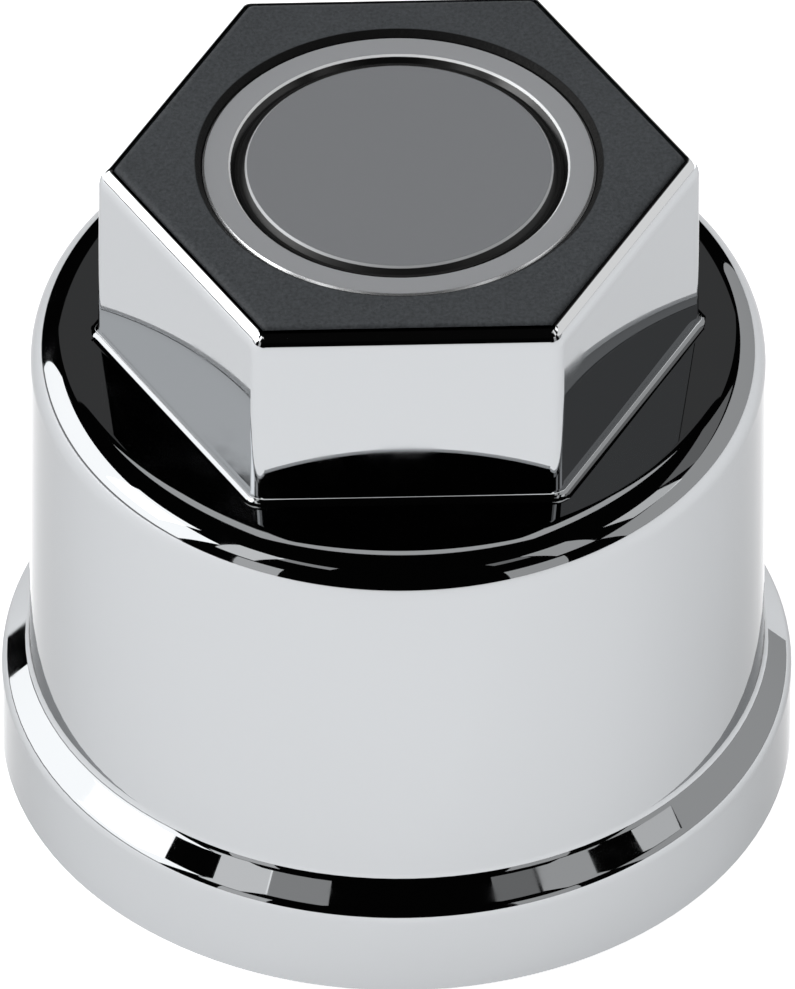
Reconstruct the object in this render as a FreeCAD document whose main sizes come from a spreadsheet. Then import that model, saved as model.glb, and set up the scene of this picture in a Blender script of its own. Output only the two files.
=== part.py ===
"""Lug nut cap: a chromed moulded shell with a hexagon on top, a black grained plate let into the
hexagon and a round medallion let into the plate.

The cap stands on its open rim. The origin is at the centre of the rim, +Z runs up the axis, and two
flats of the hexagon face +Y and -Y. Lengths are in millimetres and angles in degrees.
"""
import FreeCAD, Part
import os
import re

import Sketcher

# Driving dimensions: name, value, meaning.
SIZES = [
    ("cap_height", 47.9, "rim to the face of the hexagon"),
    ("wall", 2.2, "moulded wall of the shell"),
    ("top_wall", 2.0, "wall left under the plate"),
    ("flange_radius", 25.25, "outside of the flange at the rim"),
    ("flange_wall_height", 6.45, "upright wall of the flange"),
    ("flange_bevel_rise", 1.7, "height of the bevel above the flange wall"),
    ("flange_edge_round", 1.2, "round on the flange's upper edge"),
    ("rim_bevel", 0.25, "bevel on the outer edge of the rim"),
    ("drum_radius", 23.45, "outside of the drum at its foot"),
    ("drum_draft", 0.3, "draft of the drum, in degrees"),
    ("drum_foot_round", 0.9, "hollow round where the drum meets the bevel"),
    ("shoulder_height", 34.0, "rim to the flat shoulder"),
    ("shoulder_round", 2.6, "round from the drum to the shoulder"),
    ("hex_flats", 33.2, "across the flats, at the shoulder"),
    ("hex_draft", 0.3, "draft of the flats, in degrees"),
    ("hex_corner_round", 1.0, "round on the upright corners"),
    ("hex_edge_round", 1.45, "round from the flats to the face"),
    ("hex_foot_round", 0.6, "hollow round where the flats meet the shoulder"),
    ("plate_thickness", 1.2, "plate let into the face"),
    ("plate_margin", 0.8, "flats to the edge of the plate's seat, at the face"),
    ("plate_gap", 0.04, "clearance round the plate"),
    ("plate_corner_round", 0.6, "round on the plate's corners"),
    ("plate_edge_round", 0.55, "round on the plate's upper edge"),
    ("seat_radius", 12.5, "hole in the plate for the medallion"),
    ("seat_bevel", 0.36, "bevel round the mouth of that hole"),
    ("badge_gap", 0.05, "clearance round the medallion"),
    ("badge_sink", 0.28, "face of the plate to the face of the medallion"),
    ("badge_edge_bevel", 0.18, "bevel on the medallion's outer edge"),
    ("groove_outer_radius", 10.8, "groove between the ring and the disc, at the face"),
    ("groove_inner_radius", 9.6, "disc inside the groove"),
    ("groove_floor", 0.35, "width of the groove's floor"),
    ("groove_depth", 0.45, "depth of the groove"),
    ("nut_flats", 33.0, "across the flats of the nut that the cap covers"),
    ("rib_bite", 0.05, "how far each rib presses into a flat of the nut"),
    ("rib_thickness", 1.8, "grip rib"),
    ("rib_start_height", 10.0, "rim to the foot of the ribs"),
    ("rib_lead_in", 2.0, "slope at the foot of the ribs that guides the nut in"),
    ("rib_root", 1.1, "how far the ribs are sunk into the wall and the shoulder"),
]
SIDES = 6
HEX_STEP = 360 / SIDES
TINY = 1e-4

doc = FreeCAD.newDocument("lug_nut_cap")


def make_sheet():
    """The spreadsheet with one aliased cell for each driving dimension."""
    sheet = doc.addObject("Spreadsheet::Sheet", "Sizes")
    for row, (alias, value, meaning) in enumerate(SIZES, start=1):
        sheet.set(f"A{row}", alias)
        sheet.set(f"B{row}", str(value))
        sheet.set(f"C{row}", meaning)
        sheet.setAlias(f"B{row}", alias)
    doc.recompute()
    return sheet


sheet = make_sheet()
NAMES = {alias for alias, value, meaning in SIZES}


def bound(text):
    """An expression on the sheet's cells, from a formula that uses their bare names."""
    return re.sub(r"[a-z_]+", lambda word: f"Sizes.{word[0]}" if word[0] in NAMES else word[0], text)


def sheet_value(formula):
    """The present value of a formula on the sheet."""
    result = sheet.evalExpression(bound(formula))
    return float(getattr(result, "Value", result))


# Formulas that several pieces share.
FACE_FLATS = "hex_flats - 2 * tan(hex_draft * 1 deg) * (cap_height - shoulder_height)"
SEAT_FLATS = f"{FACE_FLATS} - 2 * plate_margin"
BEVEL_OFFSET = "wall * tan(atan((flange_radius - drum_radius) / flange_bevel_rise) / 2)"
DRUM_TAPER = "tan(drum_draft * 1 deg) * (shoulder_height - flange_wall_height - flange_bevel_rise)"
DRUM_TOP_RADIUS = f"drum_radius - {DRUM_TAPER}"
CEILING = "shoulder_height - wall"
PLATE_FLOOR = "cap_height - plate_thickness"
BADGE_FACE = "cap_height - badge_sink"
BADGE_RADIUS = "seat_radius - badge_gap"
GROOVE_MIDDLE = "(groove_outer_radius + groove_inner_radius) / 2"


def new_body(label):
    body = doc.addObject("PartDesign::Body", label)
    body.Label = label
    return body


def origin_feature(body, role):
    """One of the body's own planes or axes, by its role."""
    return next(o for o in body.Origin.OriginFeatures if o.Role == role)


def new_sketch(body, name, plane, offset=None):
    """A sketch on one of the body's planes, moved along the plane's normal by a formula."""
    sketch = body.newObject("Sketcher::SketchObject", name)
    sketch.AttachmentSupport = [(origin_feature(body, plane), "")]
    sketch.MapMode = "FlatFace"
    if offset:
        sketch.setExpression("AttachmentOffset.Base.z", bound(offset))
    return sketch


def place_point(sketch, geometry, position, x, y):
    """Ties one sketch point to two formulas, or to an axis where a formula is 0."""
    for kind, axis, formula in (("DistanceX", -2, x), ("DistanceY", -1, y)):
        if formula == "0":
            sketch.addConstraint(Sketcher.Constraint("PointOnObject", geometry, position, axis))
            continue
        start = sheet_value(formula)
        index = sketch.addConstraint(Sketcher.Constraint(kind, -1, 1, geometry, position, start))
        sketch.setExpression(f"Constraints[{index}]", bound(formula))


def outline(sketch, corners):
    """A closed outline of straight lines through corners given as pairs of formulas."""
    points = [FreeCAD.Vector(sheet_value(x), sheet_value(y), 0) for x, y in corners]
    for k, point in enumerate(points):
        sketch.addGeometry(Part.LineSegment(point, points[(k + 1) % len(points)]), False)
    for k in range(len(points)):
        sketch.addConstraint(Sketcher.Constraint("Coincident", k, 2, (k + 1) % len(points), 1))
    for k, (x, y) in enumerate(corners):
        place_point(sketch, k, 1, x, y)
    doc.recompute()


def round_corner(sketch, line, radius):
    """Rounds an outline's corner at the end of a line. The corner's own point stays where it is tied."""
    arc = sketch.GeometryCount
    sketch.fillet(line, 2, sheet_value(radius), True, True)
    index = sketch.addConstraint(Sketcher.Constraint("Radius", arc, sheet_value(radius)))
    sketch.setExpression(f"Constraints[{index}]", bound(radius))
    doc.recompute()


def hexagon(sketch, flats):
    """A hexagon with a corner on +X and flats on +Y and -Y."""
    corners = []
    for k in range(SIDES):
        angle = HEX_STEP * k
        across = f"({flats}) / sqrt(3) * cos({angle} deg)"
        along = "0" if angle % 180 == 0 else f"({flats}) / sqrt(3) * sin({angle} deg)"
        corners.append((across, along))
    outline(sketch, corners)


def circle(sketch, radius):
    """A circle about the sketch's origin."""
    sketch.addGeometry(Part.Circle(FreeCAD.Vector(), FreeCAD.Vector(0, 0, 1), sheet_value(radius)), False)
    sketch.addConstraint(Sketcher.Constraint("Coincident", 0, 3, -1, 1))
    index = sketch.addConstraint(Sketcher.Constraint("Radius", 0, sheet_value(radius)))
    sketch.setExpression(f"Constraints[{index}]", bound(radius))
    doc.recompute()


def turned(body, kind, name, sketch):
    """A Revolution or Groove of a profile about the cap's axis."""
    feature = body.newObject(f"PartDesign::{kind}", name)
    feature.Profile = sketch
    feature.ReferenceAxis = (sketch, ["V_Axis"])
    feature.Angle = 360
    doc.recompute()
    return feature


def extruded(body, kind, name, sketch, length, upwards=True, taper=None, both_ways=False):
    """A Pad or Pocket of a sketch. A Pocket points down by itself, so upwards turns it round."""
    feature = body.newObject(f"PartDesign::{kind}", name)
    feature.Profile = sketch
    feature.setExpression("Length", bound(length))
    feature.Reversed = (kind == "Pocket") == upwards
    if taper:
        feature.setExpression("TaperAngle", bound(taper))
    if both_ways:
        feature.SideType = "Symmetric"
    doc.recompute()
    return feature


def rounded(body, name, base, radius, wanted, kind="Fillet"):
    """A Fillet or Chamfer on every edge of the base feature that the test picks."""
    edges = [f"Edge{k}" for k, edge in enumerate(base.Shape.Edges, start=1) if wanted(edge)]
    if not edges:
        raise RuntimeError(f"{name} found no edge")
    feature = body.newObject(f"PartDesign::{kind}", name)
    feature.Base = (base, edges)
    feature.setExpression("Radius" if kind == "Fillet" else "Size", bound(radius))
    doc.recompute()
    return feature


def near(value, formula):
    return abs(value - sheet_value(formula)) < TINY


def is_round(edge):
    return not edge.Degenerated and isinstance(edge.Curve, Part.Circle)


def ring_at(radius, height):
    """A test for the round edge with that radius at that height."""
    def wanted(edge):
        return is_round(edge) and near(edge.Curve.Radius, radius) and near(edge.Curve.Center.z, height)
    return wanted


def level_at(height):
    """A test for the straight and round edges that lie level at that height, away from the drum."""
    def wanted(edge):
        box = edge.BoundBox
        reach = max(box.XMax, box.YMax, -box.XMin, -box.YMin)
        inside = reach < sheet_value("hex_flats / sqrt(3)") + TINY
        return near(box.ZMin, height) and near(box.ZMax, height) and inside
    return wanted


def upright_from(height):
    """A test for the corner edges that climb from that height."""
    def wanted(edge):
        box = edge.BoundBox
        return near(box.ZMin, height) and box.ZLength > TINY and not is_round(edge)
    return wanted


def faces_between(base, low, high):
    """Names of a feature's faces that reach from one height to another."""
    names = []
    for k, face in enumerate(base.Shape.Faces, start=1):
        box = face.BoundBox
        if near(box.ZMin, low) and near(box.ZMax, high):
            names.append(f"Face{k}")
    return names


def drafted(body, name, base, angle, foot, top):
    """Leans the upright faces between two levels inwards from the lower one."""
    feature = body.newObject("PartDesign::Draft", name)
    doc.recompute()
    feature.Base = (base, faces_between(base, foot, top))
    feature.NeutralPlane = (base, faces_between(base, foot, foot))
    feature.setExpression("Angle", bound(f"{angle} * 1 deg"))
    doc.recompute()
    return feature


def must_change(before, feature):
    """Stops the build if a cut or an added feature left the solid at its volume before."""
    if abs(feature.Shape.Volume - before) < TINY:
        raise RuntimeError(f"{feature.Name} changed nothing")
    return feature


def make_cap_shell():
    """The chromed moulding: flange, bevel, drum and hexagon outside, one stepped hollow inside."""
    body = new_body("cap_shell")

    profile = new_sketch(body, "drum_profile", "XZ_Plane")
    outline(profile, [
        ("0", "0"),
        ("flange_radius", "0"),
        ("flange_radius", "flange_wall_height"),
        ("drum_radius", "flange_wall_height + flange_bevel_rise"),
        (DRUM_TOP_RADIUS, "shoulder_height"),
        ("0", "shoulder_height"),
    ])
    round_corner(profile, 1, "flange_edge_round")
    round_corner(profile, 2, "drum_foot_round")
    turned(body, "Revolution", "drum", profile)

    face = new_sketch(body, "hex_outline", "XY_Plane", "shoulder_height")
    hexagon(face, "hex_flats")
    boss = extruded(body, "Pad", "hex_boss", face, "cap_height - shoulder_height")
    nut = drafted(body, "hex_lean", boss, "hex_draft", "shoulder_height", "cap_height")

    edge = rounded(body, "hex_edge", nut, "hex_edge_round", level_at("cap_height"))
    corners = rounded(body, "hex_corners", edge, "hex_corner_round", upright_from("shoulder_height"))
    foot = rounded(body, "hex_foot", corners, "hex_foot_round", level_at("shoulder_height"))
    shoulder = rounded(body, "shoulder_edge", foot, "shoulder_round",
                       ring_at(DRUM_TOP_RADIUS, "shoulder_height"))
    rim = rounded(body, "rim_edge", shoulder, "rim_bevel", ring_at("flange_radius", "0"), "Chamfer")

    hollow = new_sketch(body, "hollow_profile", "XZ_Plane")
    outline(hollow, [
        ("0", "0"),
        ("flange_radius - wall", "0"),
        ("flange_radius - wall", f"flange_wall_height - {BEVEL_OFFSET}"),
        ("drum_radius - wall", f"flange_wall_height + flange_bevel_rise - {BEVEL_OFFSET}"),
        (f"{DRUM_TOP_RADIUS} - wall", CEILING),
        ("0", CEILING),
    ])
    opened = must_change(rim.Shape.Volume, turned(body, "Groove", "drum_hollow", hollow))

    stud_room = new_sketch(body, "stud_room_outline", "XY_Plane", CEILING)
    hexagon(stud_room, "hex_flats - 2 * wall")
    stud = extruded(body, "Pocket", "stud_room", stud_room,
                    f"{PLATE_FLOOR} - top_wall - ({CEILING})", taper="- hex_draft * 1 deg")
    must_change(opened.Shape.Volume, stud)

    side = new_sketch(body, "rib_profile", "YZ_Plane")
    tip = "nut_flats / 2 - rib_bite"
    outline(side, [
        (tip, f"{CEILING} + rib_root"),
        (tip, "rib_start_height + rib_lead_in"),
        (f"{tip} + rib_lead_in", "rib_start_height"),
        ("drum_radius - wall + rib_root", "rib_start_height"),
        ("drum_radius - wall + rib_root", f"{CEILING} + rib_root"),
    ])
    rib = extruded(body, "Pad", "grip_rib", side, "rib_thickness", both_ways=True)
    must_change(stud.Shape.Volume, rib)

    ribs = body.newObject("PartDesign::PolarPattern", "grip_ribs")
    ribs.Originals = [rib]
    ribs.Axis = (origin_feature(body, "Z_Axis"), [""])
    ribs.Angle = 360
    ribs.Occurrences = SIDES
    body.Tip = ribs
    doc.recompute()
    must_change(rib.Shape.Volume, ribs)

    recess = new_sketch(body, "plate_seat_outline", "XY_Plane", "cap_height")
    hexagon(recess, SEAT_FLATS)
    seat = extruded(body, "Pocket", "plate_seat", recess, "plate_thickness", upwards=False)
    must_change(ribs.Shape.Volume, seat)
    return body


def make_top_plate():
    """The black grained plate in the hexagon's face, with the medallion's seat through it."""
    body = new_body("top_plate")
    face = new_sketch(body, "plate_outline", "XY_Plane", PLATE_FLOOR)
    hexagon(face, f"{SEAT_FLATS} - 2 * plate_gap")
    slab = extruded(body, "Pad", "slab", face, "plate_thickness")
    corners = rounded(body, "plate_corners", slab, "plate_corner_round", upright_from(PLATE_FLOOR))
    edge = rounded(body, "plate_edge", corners, "plate_edge_round", level_at("cap_height"))

    mouth = new_sketch(body, "badge_seat_outline", "XY_Plane", "cap_height")
    circle(mouth, "seat_radius")
    seat = extruded(body, "Pocket", "badge_seat", mouth, "plate_thickness", upwards=False)
    must_change(edge.Shape.Volume, seat)
    rounded(body, "badge_seat_bevel", seat, "seat_bevel", ring_at("seat_radius", "cap_height"), "Chamfer")
    return body


def make_medallion():
    """The plain medallion: a flat ring and a flat disc with a sloping groove between them."""
    body = new_body("medallion")
    profile = new_sketch(body, "badge_profile", "XZ_Plane")
    groove = f"{BADGE_FACE} - groove_depth"
    outline(profile, [
        ("0", PLATE_FLOOR),
        (BADGE_RADIUS, PLATE_FLOOR),
        (BADGE_RADIUS, BADGE_FACE),
        ("groove_outer_radius", BADGE_FACE),
        (f"{GROOVE_MIDDLE} + groove_floor / 2", groove),
        (f"{GROOVE_MIDDLE} - groove_floor / 2", groove),
        ("groove_inner_radius", BADGE_FACE),
        ("0", BADGE_FACE),
    ])
    disc = turned(body, "Revolution", "turned_disc", profile)
    rounded(body, "badge_edge", disc, "badge_edge_bevel", ring_at(BADGE_RADIUS, BADGE_FACE), "Chamfer")
    return body


def check(pieces):
    """Stops the build if any object failed or any piece isn't one sound solid."""
    for item in doc.Objects:
        if "Invalid" in item.State or "Error" in item.State:
            raise RuntimeError(f"{item.Name} failed: {item.State}")
    for piece in pieces:
        shape = piece.Shape
        if shape.isNull() or not shape.isValid() or len(shape.Solids) != 1:
            raise RuntimeError(f"{piece.Label} is not one sound solid")


def export(pieces):
    os.makedirs("parts", exist_ok=True)
    for piece in pieces:
        piece.Shape.exportStep(os.path.join("parts", f"{piece.Label}.step"))
        box = piece.Shape.BoundBox
        print(f"{piece.Label}: {piece.Shape.Volume:.1f} mm3, z {box.ZMin:.2f} to {box.ZMax:.2f}")


def main():
    pieces = [make_cap_shell(), make_top_plate(), make_medallion()]
    doc.recompute()
    check(pieces)
    export(pieces)


main()
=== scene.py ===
"""Looks of the lug nut cap: a brightly plated shell with a painted highlight on the hexagon's upper edge
and a painted shadow line round the plate, a black grained plate with painted shade in its seat, and a
satin medallion with painted highlights on its edges and painted shade in its groove, on a white floor
among soft boxes."""
import math

import bpy
from bpy.props import FloatProperty, FloatVectorProperty, PointerProperty
from mathutils import Matrix, Vector


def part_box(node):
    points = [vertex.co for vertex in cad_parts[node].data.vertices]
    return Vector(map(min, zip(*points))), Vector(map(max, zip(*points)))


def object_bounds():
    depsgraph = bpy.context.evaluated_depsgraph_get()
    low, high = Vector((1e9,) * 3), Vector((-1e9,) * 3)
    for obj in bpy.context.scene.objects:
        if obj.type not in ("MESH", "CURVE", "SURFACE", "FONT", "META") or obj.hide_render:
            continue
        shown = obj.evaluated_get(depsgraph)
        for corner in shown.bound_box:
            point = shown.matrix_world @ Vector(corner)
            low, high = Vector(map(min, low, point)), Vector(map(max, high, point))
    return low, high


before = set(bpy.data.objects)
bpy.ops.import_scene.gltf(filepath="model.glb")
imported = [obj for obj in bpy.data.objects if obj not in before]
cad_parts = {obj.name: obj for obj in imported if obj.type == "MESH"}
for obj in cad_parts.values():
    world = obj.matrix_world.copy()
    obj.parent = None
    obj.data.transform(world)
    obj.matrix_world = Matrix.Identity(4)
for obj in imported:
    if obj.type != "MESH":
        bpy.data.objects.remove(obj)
CAD_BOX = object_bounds()

bl_info = {
    "name": "Lug nut cap",
    "version": (1, 0, 0),
    "blender": (4, 5, 0),
    "location": "View3D > Sidebar > Cap",
    "description": "Dresses the packed lug nut cap and sets up its studio",
    "category": "Object",
}

MM = 0.001
IMAGE_HEIGHT = 989
RIM_RADIUS = CAD_BOX[1].x
DISC_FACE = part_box("medallion")[1].z
RING_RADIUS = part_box("medallion")[1].x
GROOVE_RADIUS = 10.2 * MM
LIP_REACH = 1.0 * MM
SEAT_MOUTH = RING_RADIUS + 0.45 * MM
WALL = 2.2 * MM
FLANGE_BORE = RIM_RADIUS - WALL
FLANGE_HEIGHT = 6.0 * MM
DRUM_RADIUS = 23.45 * MM
DRUM_BORE = DRUM_RADIUS - WALL
SHOULDER = 34.0 * MM
CEILING = SHOULDER - WALL
# Heights on the shell's top: above the first a painted highlight on the hexagon's upper edge, above the
# second a painted shadow line round the plate.
PAINTED_HIGHLIGHT_HEIGHT = CAD_BOX[1].z - 0.70 * MM
PAINTED_SHADOW_HEIGHT = CAD_BOX[1].z - 0.26 * MM
SHARP = 0.004 * MM
RIPPLE_SCALE, RIPPLE_DEPTH = 70.0, 0.005 * MM
SMEAR_SCALE = 220.0
GRAIN_SCALE, PATCH_SCALE = 4200.0, 180.0
SATIN_SCALE, SATIN_DEPTH = 900.0, 0.004 * MM
# Painted shade in the plate's seat round the medallion and in the medallion's groove.
PAINTED_MOUTH_SHADE = (0.003, 0.003, 0.003)
PAINTED_GROOVE_SHADE = (0.004, 0.004, 0.004)
ROOM_BLACK = (0.002, 0.002, 0.002)
FLOOR_WHITE = (0.92, 0.92, 0.93)
FLOOR_GLOW = (1.0, 1.0, 1.0)
FLOOR_SIZE = 6.0
# Each round of the shell: the ring at its middle, the height of that ring, its size and its top.
FLANGE_EDGE = (24.05 * MM, 5.933 * MM, 1.2 * MM, 6.805 * MM)
SHOULDER_EDGE = (20.728 * MM, 31.4 * MM, 2.6 * MM, SHOULDER + 0.1 * MM)
# Each soft box: its name, degrees round from the front to the right, degrees above the floor, metres
# away, metres wide, metres high and the brightness of its face.
OVERHEAD = ("overhead", 0, 90, 1.6, 2.4, 2.4, 1.35)
SOFT_BOXES = [
    ("left_box", -98.5, 23.5, 1.0, 1.38, 0.66, 2.4),
    ("left_high_box", -85, 34, 1.0, 0.36, 0.45, 2.4),
    ("left_low_strip", -98.5, 2.5, 1.0, 1.38, 0.07, 0.45),
    ("left_front_card", -50, 38, 1.0, 0.2, 0.45, 1.25),
    ("left_front_low_card", -41.5, 12, 1.0, 0.23, 0.4, 0.85),
    ("front_left_fill", -33, 48.6, 1.2, 0.27, 0.14, 0.5),
    ("right_box", 107, 17.5, 1.0, 1.9, 0.6, 0.65),
    ("right_high_box", 84, 39.7, 1.0, 0.32, 0.26, 1.0),
    ("right_rear_card", 119, 42, 1.1, 0.5, 0.26, 0.25),
    ("right_front_card", 51.5, 40, 1.0, 0.2, 0.45, 0.7),
    ("right_front_low_card", 37.5, 12, 1.0, 0.3, 0.4, 0.65),
    ("front_right_fill", 36, 48, 1.2, 0.19, 0.14, 0.3),
    ("back_box", 180, 69, 1.05, 0.62, 0.56, 0.75),
    ("back_card", 180, 41.5, 1.2, 1.1, 0.3, 0.08),
]


class Value:
    """A shader socket. Arithmetic on it adds Math nodes to its tree."""

    def __init__(self, tree, socket):
        self.tree = tree
        self.socket = socket

    def math(self, operation, *values, clamp=False):
        settings = {"operation": operation, "use_clamp": clamp}
        return self.tree.node("ShaderNodeMath", settings, *values)

    def __add__(self, other):
        return self.math("ADD", self, other)

    __radd__ = __add__

    def __sub__(self, other):
        return self.math("SUBTRACT", self, other)

    def __rsub__(self, other):
        return self.math("SUBTRACT", other, self)

    def __mul__(self, other):
        return self.math("MULTIPLY", self, other)

    __rmul__ = __mul__

    def __truediv__(self, other):
        return self.math("DIVIDE", self, other)

    def above(self, edge, soft):
        """0 below an edge and 1 above it, over a soft width."""
        return self.math("ADD", (self - edge) * (1 / soft), 0.5, clamp=True)

    def below(self, edge, soft=0.1 * MM):
        """1 below an edge and 0 above it."""
        return 1 - self.above(edge, soft)


class Finish:
    """A material's node tree, with one Principled shader to feed."""

    def __init__(self, name):
        self.material = bpy.data.materials.new(name)
        self.material.use_nodes = True
        self.nodes = self.material.node_tree.nodes
        self.links = self.material.node_tree.links
        self.shader = self.nodes["Principled BSDF"]

    def node(self, kind, settings, *values, out=0, sockets=None, **named):
        """Any node: its settings first, then its sockets by order, number or name. Gives one output."""
        node = self.nodes.new(kind)
        for key, value in settings.items():
            setattr(node, key, value)
        for key, value in [*enumerate(values), *(sockets or {}).items(), *named.items()]:
            self.feed(node.inputs[key], value)
        return Value(self, node.outputs[out])

    def feed(self, socket, value):
        if isinstance(value, Value):
            self.links.new(value.socket, socket)
        else:
            socket.default_value = value

    def set(self, **inputs):
        """Feeds the Principled shader, with words joined by _ for its socket names."""
        for key, value in inputs.items():
            self.feed(self.shader.inputs[key.replace("_", " ")], value)

    def split(self, vector):
        """A vector's x, y and z."""
        outputs = self.node("ShaderNodeSeparateXYZ", {}, vector).socket.node.outputs
        return [Value(self, outputs[k]) for k in range(3)]

    def place(self):
        """The point on the piece in metres, and its height and distance from the cap's axis."""
        point = self.node("ShaderNodeTexCoord", {}, out="Object")
        x, y, z = self.split(point)
        return point, z, x.math("SQRT", x * x + y * y)

    def noise(self, point, scale, detail=2.0, roughness=0.5):
        return self.node("ShaderNodeTexNoise", {}, out="Fac", Vector=point, Scale=scale,
                         Detail=detail, Roughness=roughness)

    def mix(self, share, first, second):
        """From one colour to another."""
        sockets = {0: share, 6: first, 7: second}
        return self.node("ShaderNodeMix", {"data_type": "RGBA"}, sockets=sockets, out=2)

    def bump(self, height, distance, **named):
        return self.node("ShaderNodeBump", {}, Strength=1.0, Distance=distance, Height=height, **named)

    def rounded(self, normal, place, ring, height, size, top):
        """A normal made exact on a round of one size that is turned about the cap's axis, where the
        middle of the round is a ring at a height, and the round ends at its top."""
        point, z, radius = place
        x, y, _ = self.split(point)
        out = radius - ring
        up = z - height
        reach = out.math("SQRT", out * out + up * up)
        share = out.above(0, SHARP) * up.above(0, SHARP) * z.below(top, SHARP)
        share = share * reach.above(0.8 * size, SHARP)
        slant = out / radius
        away = self.node("ShaderNodeCombineXYZ", {}, x * slant, y * slant, up)
        exact = self.node("ShaderNodeVectorMath", {"operation": "NORMALIZE"}, away)
        sockets = {0: share, 4: normal, 5: exact}
        return self.node("ShaderNodeMix", {"data_type": "VECTOR"}, sockets=sockets, out=1)

    def crowned(self, normal, point, share, bend):
        """A normal that leans away from the cap's axis by a share of a bend per metre."""
        x, y, _ = self.split(point)
        up = self.split(normal)[2]
        lean = up.above(0.9, 0.2) * share * bend
        outwards = self.node("ShaderNodeCombineXYZ", {}, x * lean, y * lean)
        return self.node("ShaderNodeVectorMath", {"operation": "ADD"}, normal, outwards)


def colour(rgb):
    """A colour with its alpha."""
    return (*rgb, 1.0)


def dress(node, finish):
    """Puts a finish on a CAD node."""
    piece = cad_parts[node]
    piece.data.materials.clear()
    piece.data.materials.append(finish.material)


class PlatingLooks(bpy.types.PropertyGroup):
    """Finish of the shell."""

    tint: FloatVectorProperty(
        name="Tint", description="Colour of the plating", subtype="COLOR",
        default=(0.385, 0.395, 0.405))
    edge: FloatVectorProperty(
        name="Edge", description="Colour of the plating at a glancing angle", subtype="COLOR",
        default=(0.63, 0.63, 0.63))
    # Painted highlight on the hexagon's upper edge.
    bright: FloatVectorProperty(
        name="Bright", description="Colour of the plating on the hexagon's upper edge", subtype="COLOR",
        default=(0.95, 0.96, 0.97))
    # Painted shadow line on the shell round the plate.
    seam: FloatVectorProperty(
        name="Seam", description="Colour of the bare edge round the plate", subtype="COLOR",
        default=(0.015, 0.015, 0.015))
    inside: FloatVectorProperty(
        name="Inside", description="Colour of the bare moulding inside", subtype="COLOR",
        default=(0.16, 0.165, 0.17))
    haze: FloatProperty(
        name="Haze", description="Roughness of the plating where it is dull", subtype="FACTOR",
        default=0.06)
    crown: FloatProperty(
        name="Crown", description="Bend of the shoulder, in radians to the metre", default=2.7)


class PlateLooks(bpy.types.PropertyGroup):
    """Finish of the black plate."""

    tint: FloatVectorProperty(
        name="Tint", description="Colour of the plate", subtype="COLOR",
        default=(0.040, 0.0433, 0.0467))
    grain: FloatProperty(
        name="Grain", description="Depth of the moulded grain", subtype="DISTANCE", unit="LENGTH",
        default=0.05 * MM)


class MedallionLooks(bpy.types.PropertyGroup):
    """Finish of the medallion."""

    disc: FloatVectorProperty(
        name="Disc", description="Colour of the disc", subtype="COLOR",
        default=(0.215, 0.221, 0.232))
    ring: FloatVectorProperty(
        name="Ring", description="Colour of the ring", subtype="COLOR",
        default=(0.325, 0.332, 0.345))
    # Painted highlight: the light colour given to the chamfered edges, which are also less rough.
    edges: FloatVectorProperty(
        name="Edges", description="Colour of the polished edges", subtype="COLOR",
        default=(0.8, 0.81, 0.82))


class StudioSettings(bpy.types.PropertyGroup):
    """Camera, floor and lights."""

    distance: FloatProperty(
        name="Distance", description="Camera to the cap", subtype="DISTANCE", unit="LENGTH", default=2.0)
    elevation: FloatProperty(
        name="Elevation", description="Camera above the floor", subtype="ANGLE", unit="ROTATION",
        default=math.radians(41.5))
    azimuth: FloatProperty(
        name="Azimuth", description="Camera round the cap, from the front flat", subtype="ANGLE",
        unit="ROTATION", default=math.radians(-2.1))
    roll: FloatProperty(
        name="Roll", description="Tilt of the camera about its own axis", subtype="ANGLE",
        unit="ROTATION", default=math.radians(0.3))
    scale: FloatProperty(
        name="Scale", description="Image pixels to a millimetre at the cap's axis", default=15.72)
    aim: FloatProperty(
        name="Aim", description="Height of the point on the axis at the picture's middle",
        subtype="DISTANCE", unit="LENGTH", default=19.9 * MM)


class CAP_OT_plating(bpy.types.Operator):
    """Bright plating outside, bare moulding inside, a painted highlight on the hexagon's upper edge and
    a painted shadow line round the plate
    """

    bl_idname = "cap.plating"
    bl_label = "Plate the shell"

    def execute(self, context):
        looks = context.scene.cap_plating
        finish = Finish("bright_plating")
        place = finish.place()
        point, z, radius = place
        ripple = finish.noise(point, RIPPLE_SCALE, 1.0)
        smears = finish.noise(point, SMEAR_SCALE, 3.0, 0.6)
        in_flange = radius.below(FLANGE_BORE + WALL / 2) * z.below(FLANGE_HEIGHT)
        in_drum = radius.below(DRUM_BORE + WALL / 2) * z.below(CEILING + WALL / 2)
        inside = in_flange.math("MAXIMUM", in_flange, in_drum)
        on_shoulder = z.above(SHOULDER - 2 * MM, 0.1 * MM) * z.below(SHOULDER + 2 * MM)
        normal = finish.node("ShaderNodeNewGeometry", {}, out="Normal")
        for turned_edge in (FLANGE_EDGE, SHOULDER_EDGE):
            normal = finish.rounded(normal, place, *turned_edge)
        normal = finish.crowned(normal, point, on_shoulder, looks.crown)
        # Painted highlight: near-white plating on the hexagon's upper edge; painted shadow: near black
        # on the shell's top rim round the plate.
        plating = finish.mix(z.above(PAINTED_HIGHLIGHT_HEIGHT, 0.05 * MM), colour(looks.tint), colour(looks.bright))
        plating = finish.mix(z.above(PAINTED_SHADOW_HEIGHT, 0.05 * MM), plating, colour(looks.seam))
        finish.set(
            Base_Color=finish.mix(inside, plating, colour(looks.inside)),
            Metallic=1.0 - inside * 0.9,
            Specular_Tint=colour(looks.edge),
            Roughness=0.02 + smears.above(0.62, 0.2) * looks.haze + inside * 0.4,
            Normal=finish.bump(ripple, RIPPLE_DEPTH, Normal=normal),
        )
        dress("cap_shell", finish)
        return {"FINISHED"}


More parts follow.
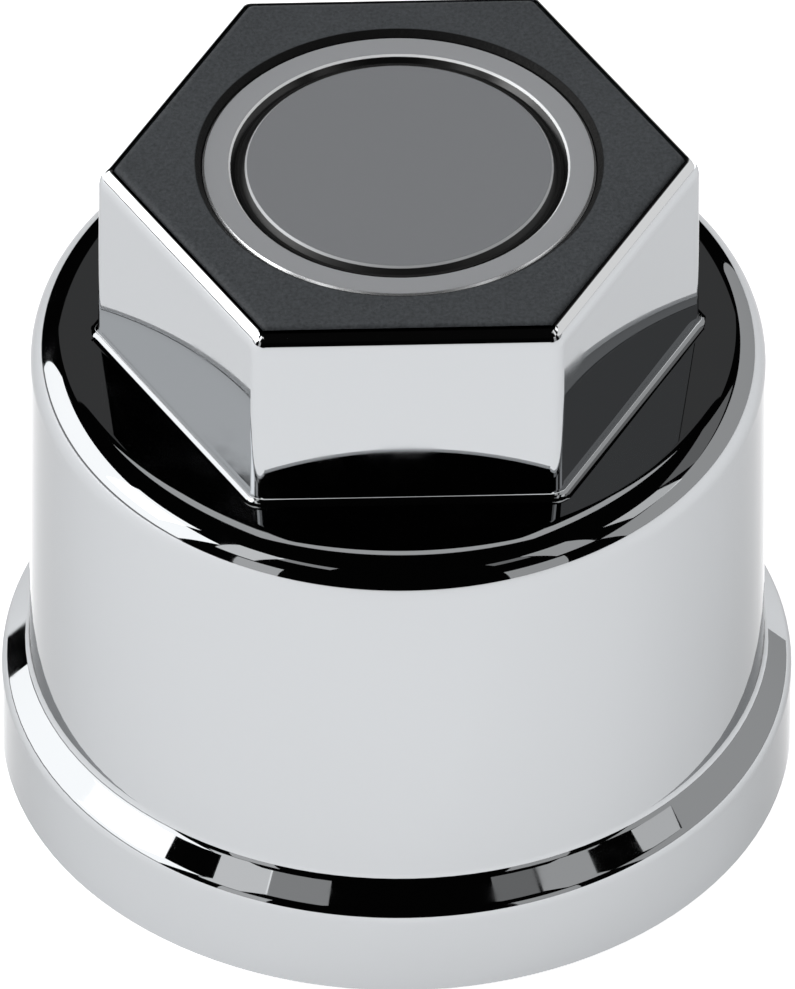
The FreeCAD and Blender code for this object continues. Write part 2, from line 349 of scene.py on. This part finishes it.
class CAP_OT_plate(bpy.types.Operator):
    """Matte black plate with a fine moulded grain"""

    bl_idname = "cap.plate"
    bl_label = "Finish the plate"

    def execute(self, context):
        looks = context.scene.cap_plate
        finish = Finish("grained_black")
        point, _, radius = finish.place()
        grain = finish.noise(point, GRAIN_SCALE, 2.0, 0.6)
        patches = finish.noise(point, PATCH_SCALE, 2.0)
        darker, lighter = [colour([c * share for c in looks.tint]) for share in (0.7, 1.65)]
        field = finish.mix(grain.above(0.5, 0.5) * 0.75 + patches * 0.25, darker, lighter)
        # Painted shade: near black on the plate inside the seat's opening round the medallion.
        shaded_mouth = radius.below(SEAT_MOUTH)
        finish.set(
            Base_Color=finish.mix(shaded_mouth, field, colour(PAINTED_MOUTH_SHADE)),
            Roughness=0.5 + grain * 0.2,
            Specular_IOR_Level=0.2,
            Normal=finish.bump(grain, looks.grain),
        )
        dress("top_plate", finish)
        return {"FINISHED"}


class CAP_OT_medallion(bpy.types.Operator):
    """Satin disc and ring, their chamfered edges less rough and lightened in colour as a painted
    highlight, with painted shade in the groove between them
    """

    bl_idname = "cap.medallion"
    bl_label = "Finish the medallion"

    def execute(self, context):
        looks = context.scene.cap_medallion
        finish = Finish("satin_metal")
        point, z, radius = finish.place()
        edge = z.below(DISC_FACE - 0.02 * MM, 0.01 * MM)
        # Painted shade: the groove floor between ring and disc is near black and has no metal.
        shaded_groove = z.below(DISC_FACE - 0.15 * MM, 0.02 * MM)
        on_ring = radius.above(GROOVE_RADIUS, 0.05 * MM)
        # Painted highlight: the ring's inner edge, within LIP_REACH of the groove, is a white line with
        # no metal.
        painted_white_lip = edge * on_ring * radius.below(GROOVE_RADIUS + LIP_REACH)
        satin = finish.noise(point, SATIN_SCALE, 4.0, 0.6)
        metal = finish.mix(on_ring, colour(looks.disc), colour(looks.ring))
        # The edges' light colour is a painted highlight; their lower roughness and extra metal below are
        # a real polish.
        polished_and_painted_highlit = finish.mix(edge * (on_ring * 0.6 + 0.4), metal, colour(looks.edges))
        finish.set(
            Base_Color=finish.mix(shaded_groove, polished_and_painted_highlit, colour(PAINTED_GROOVE_SHADE)),
            Metallic=(0.25 + edge * on_ring * 0.6) * (1 - shaded_groove) * (1 - painted_white_lip),
            Roughness=0.36 + satin * 0.12 - edge * on_ring * 0.2,
            Normal=finish.bump(satin, SATIN_DEPTH),
        )
        dress("medallion", finish)
        return {"FINISHED"}


class CAP_OT_studio(bpy.types.Operator):
    """White floor, soft boxes all round and overhead, and the camera"""

    bl_idname = "cap.studio"
    bl_label = "Set up the studio"

    def execute(self, context):
        self.add_floor(context)
        self.add_lights(context)
        self.add_camera(context)
        context.scene.view_settings.view_transform = "Standard"
        return {"FINISHED"}

    def add_floor(self, context):
        bpy.ops.mesh.primitive_plane_add(size=FLOOR_SIZE, location=(0, 0, CAD_BOX[0].z))
        floor = context.object
        floor.name = "floor"
        finish = Finish("white_floor")
        finish.set(
            Base_Color=colour(FLOOR_WHITE),
            Roughness=0.9,
            Emission_Color=colour(FLOOR_GLOW),
            Emission_Strength=0.80,
        )
        floor.data.materials.append(finish.material)

    def add_box(self, name, side, rise, far, width, height, glow, seen=True):
        """One soft box that faces the cap, seen in the plating or not."""
        data = bpy.data.lights.new(name, "AREA")
        data.shape = "RECTANGLE"
        data.size = width
        data.size_y = height
        data.energy = glow * math.pi * width * height
        box = bpy.data.objects.new(name, data)
        bpy.context.scene.collection.objects.link(box)
        turn, lift = math.radians(side), math.radians(rise)
        towards = Vector((
            math.sin(turn) * math.cos(lift), -math.cos(turn) * math.cos(lift), math.sin(lift)))
        box.location = towards * far
        box.rotation_euler = towards.to_track_quat("Z", "Y").to_euler()
        box.visible_glossy = seen

    def add_lights(self, context):
        world = bpy.data.worlds.new("studio")
        world.use_nodes = True
        world.node_tree.nodes["Background"].inputs["Color"].default_value = colour(ROOM_BLACK)
        context.scene.world = world
        self.add_box(*OVERHEAD, seen=False)
        for box in SOFT_BOXES:
            self.add_box(*box)

    def add_camera(self, context):
        studio = context.scene.cap_studio
        back = Vector((
            math.sin(studio.azimuth) * math.cos(studio.elevation),
            -math.cos(studio.azimuth) * math.cos(studio.elevation),
            math.sin(studio.elevation),
        ))
        data = bpy.data.cameras.new("camera")
        camera = bpy.data.objects.new("camera", data)
        context.scene.collection.objects.link(camera)
        aim = Vector((0, 0, studio.aim))
        turn = (-back).to_track_quat("-Z", "Y").to_matrix() @ Matrix.Rotation(studio.roll, 3, "Z")
        camera.matrix_world = Matrix.Translation(aim + back * studio.distance) @ turn.to_4x4()
        data.sensor_width = 36.0
        data.lens = data.sensor_width * studio.scale / MM * studio.distance / IMAGE_HEIGHT
        data.clip_start = 0.1
        data.clip_end = 20.0
        context.scene.camera = camera


class CAP_PT_panel(bpy.types.Panel):
    """The cap's pieces and its studio"""

    bl_label = "Lug nut cap"
    bl_idname = "CAP_PT_panel"
    bl_space_type = "VIEW_3D"
    bl_region_type = "UI"
    bl_category = "Cap"

    def draw(self, context):
        for operator, settings in STEPS:
            box = self.layout.box()
            box.operator(operator)
            group = getattr(context.scene, settings)
            for name in group.bl_rna.properties.keys():
                if name not in ("rna_type", "name"):
                    box.prop(group, name)


STEPS = [
    ("cap.plating", "cap_plating"),
    ("cap.plate", "cap_plate"),
    ("cap.medallion", "cap_medallion"),
    ("cap.studio", "cap_studio"),
]
SETTINGS = {
    "cap_plating": PlatingLooks,
    "cap_plate": PlateLooks,
    "cap_medallion": MedallionLooks,
    "cap_studio": StudioSettings,
}
CLASSES = [
    *SETTINGS.values(),
    CAP_OT_plating,
    CAP_OT_plate,
    CAP_OT_medallion,
    CAP_OT_studio,
    CAP_PT_panel,
]


def register():
    for cls in CLASSES:
        bpy.utils.register_class(cls)
    for name, group in SETTINGS.items():
        setattr(bpy.types.Scene, name, PointerProperty(type=group))


def unregister():
    for name in SETTINGS:
        delattr(bpy.types.Scene, name)
    for cls in reversed(CLASSES):
        bpy.utils.unregister_class(cls)


def main():
    register()
    bpy.ops.cap.plating()
    bpy.ops.cap.plate()
    bpy.ops.cap.medallion()
    bpy.ops.cap.studio()


if __name__ == "__main__":
    main()
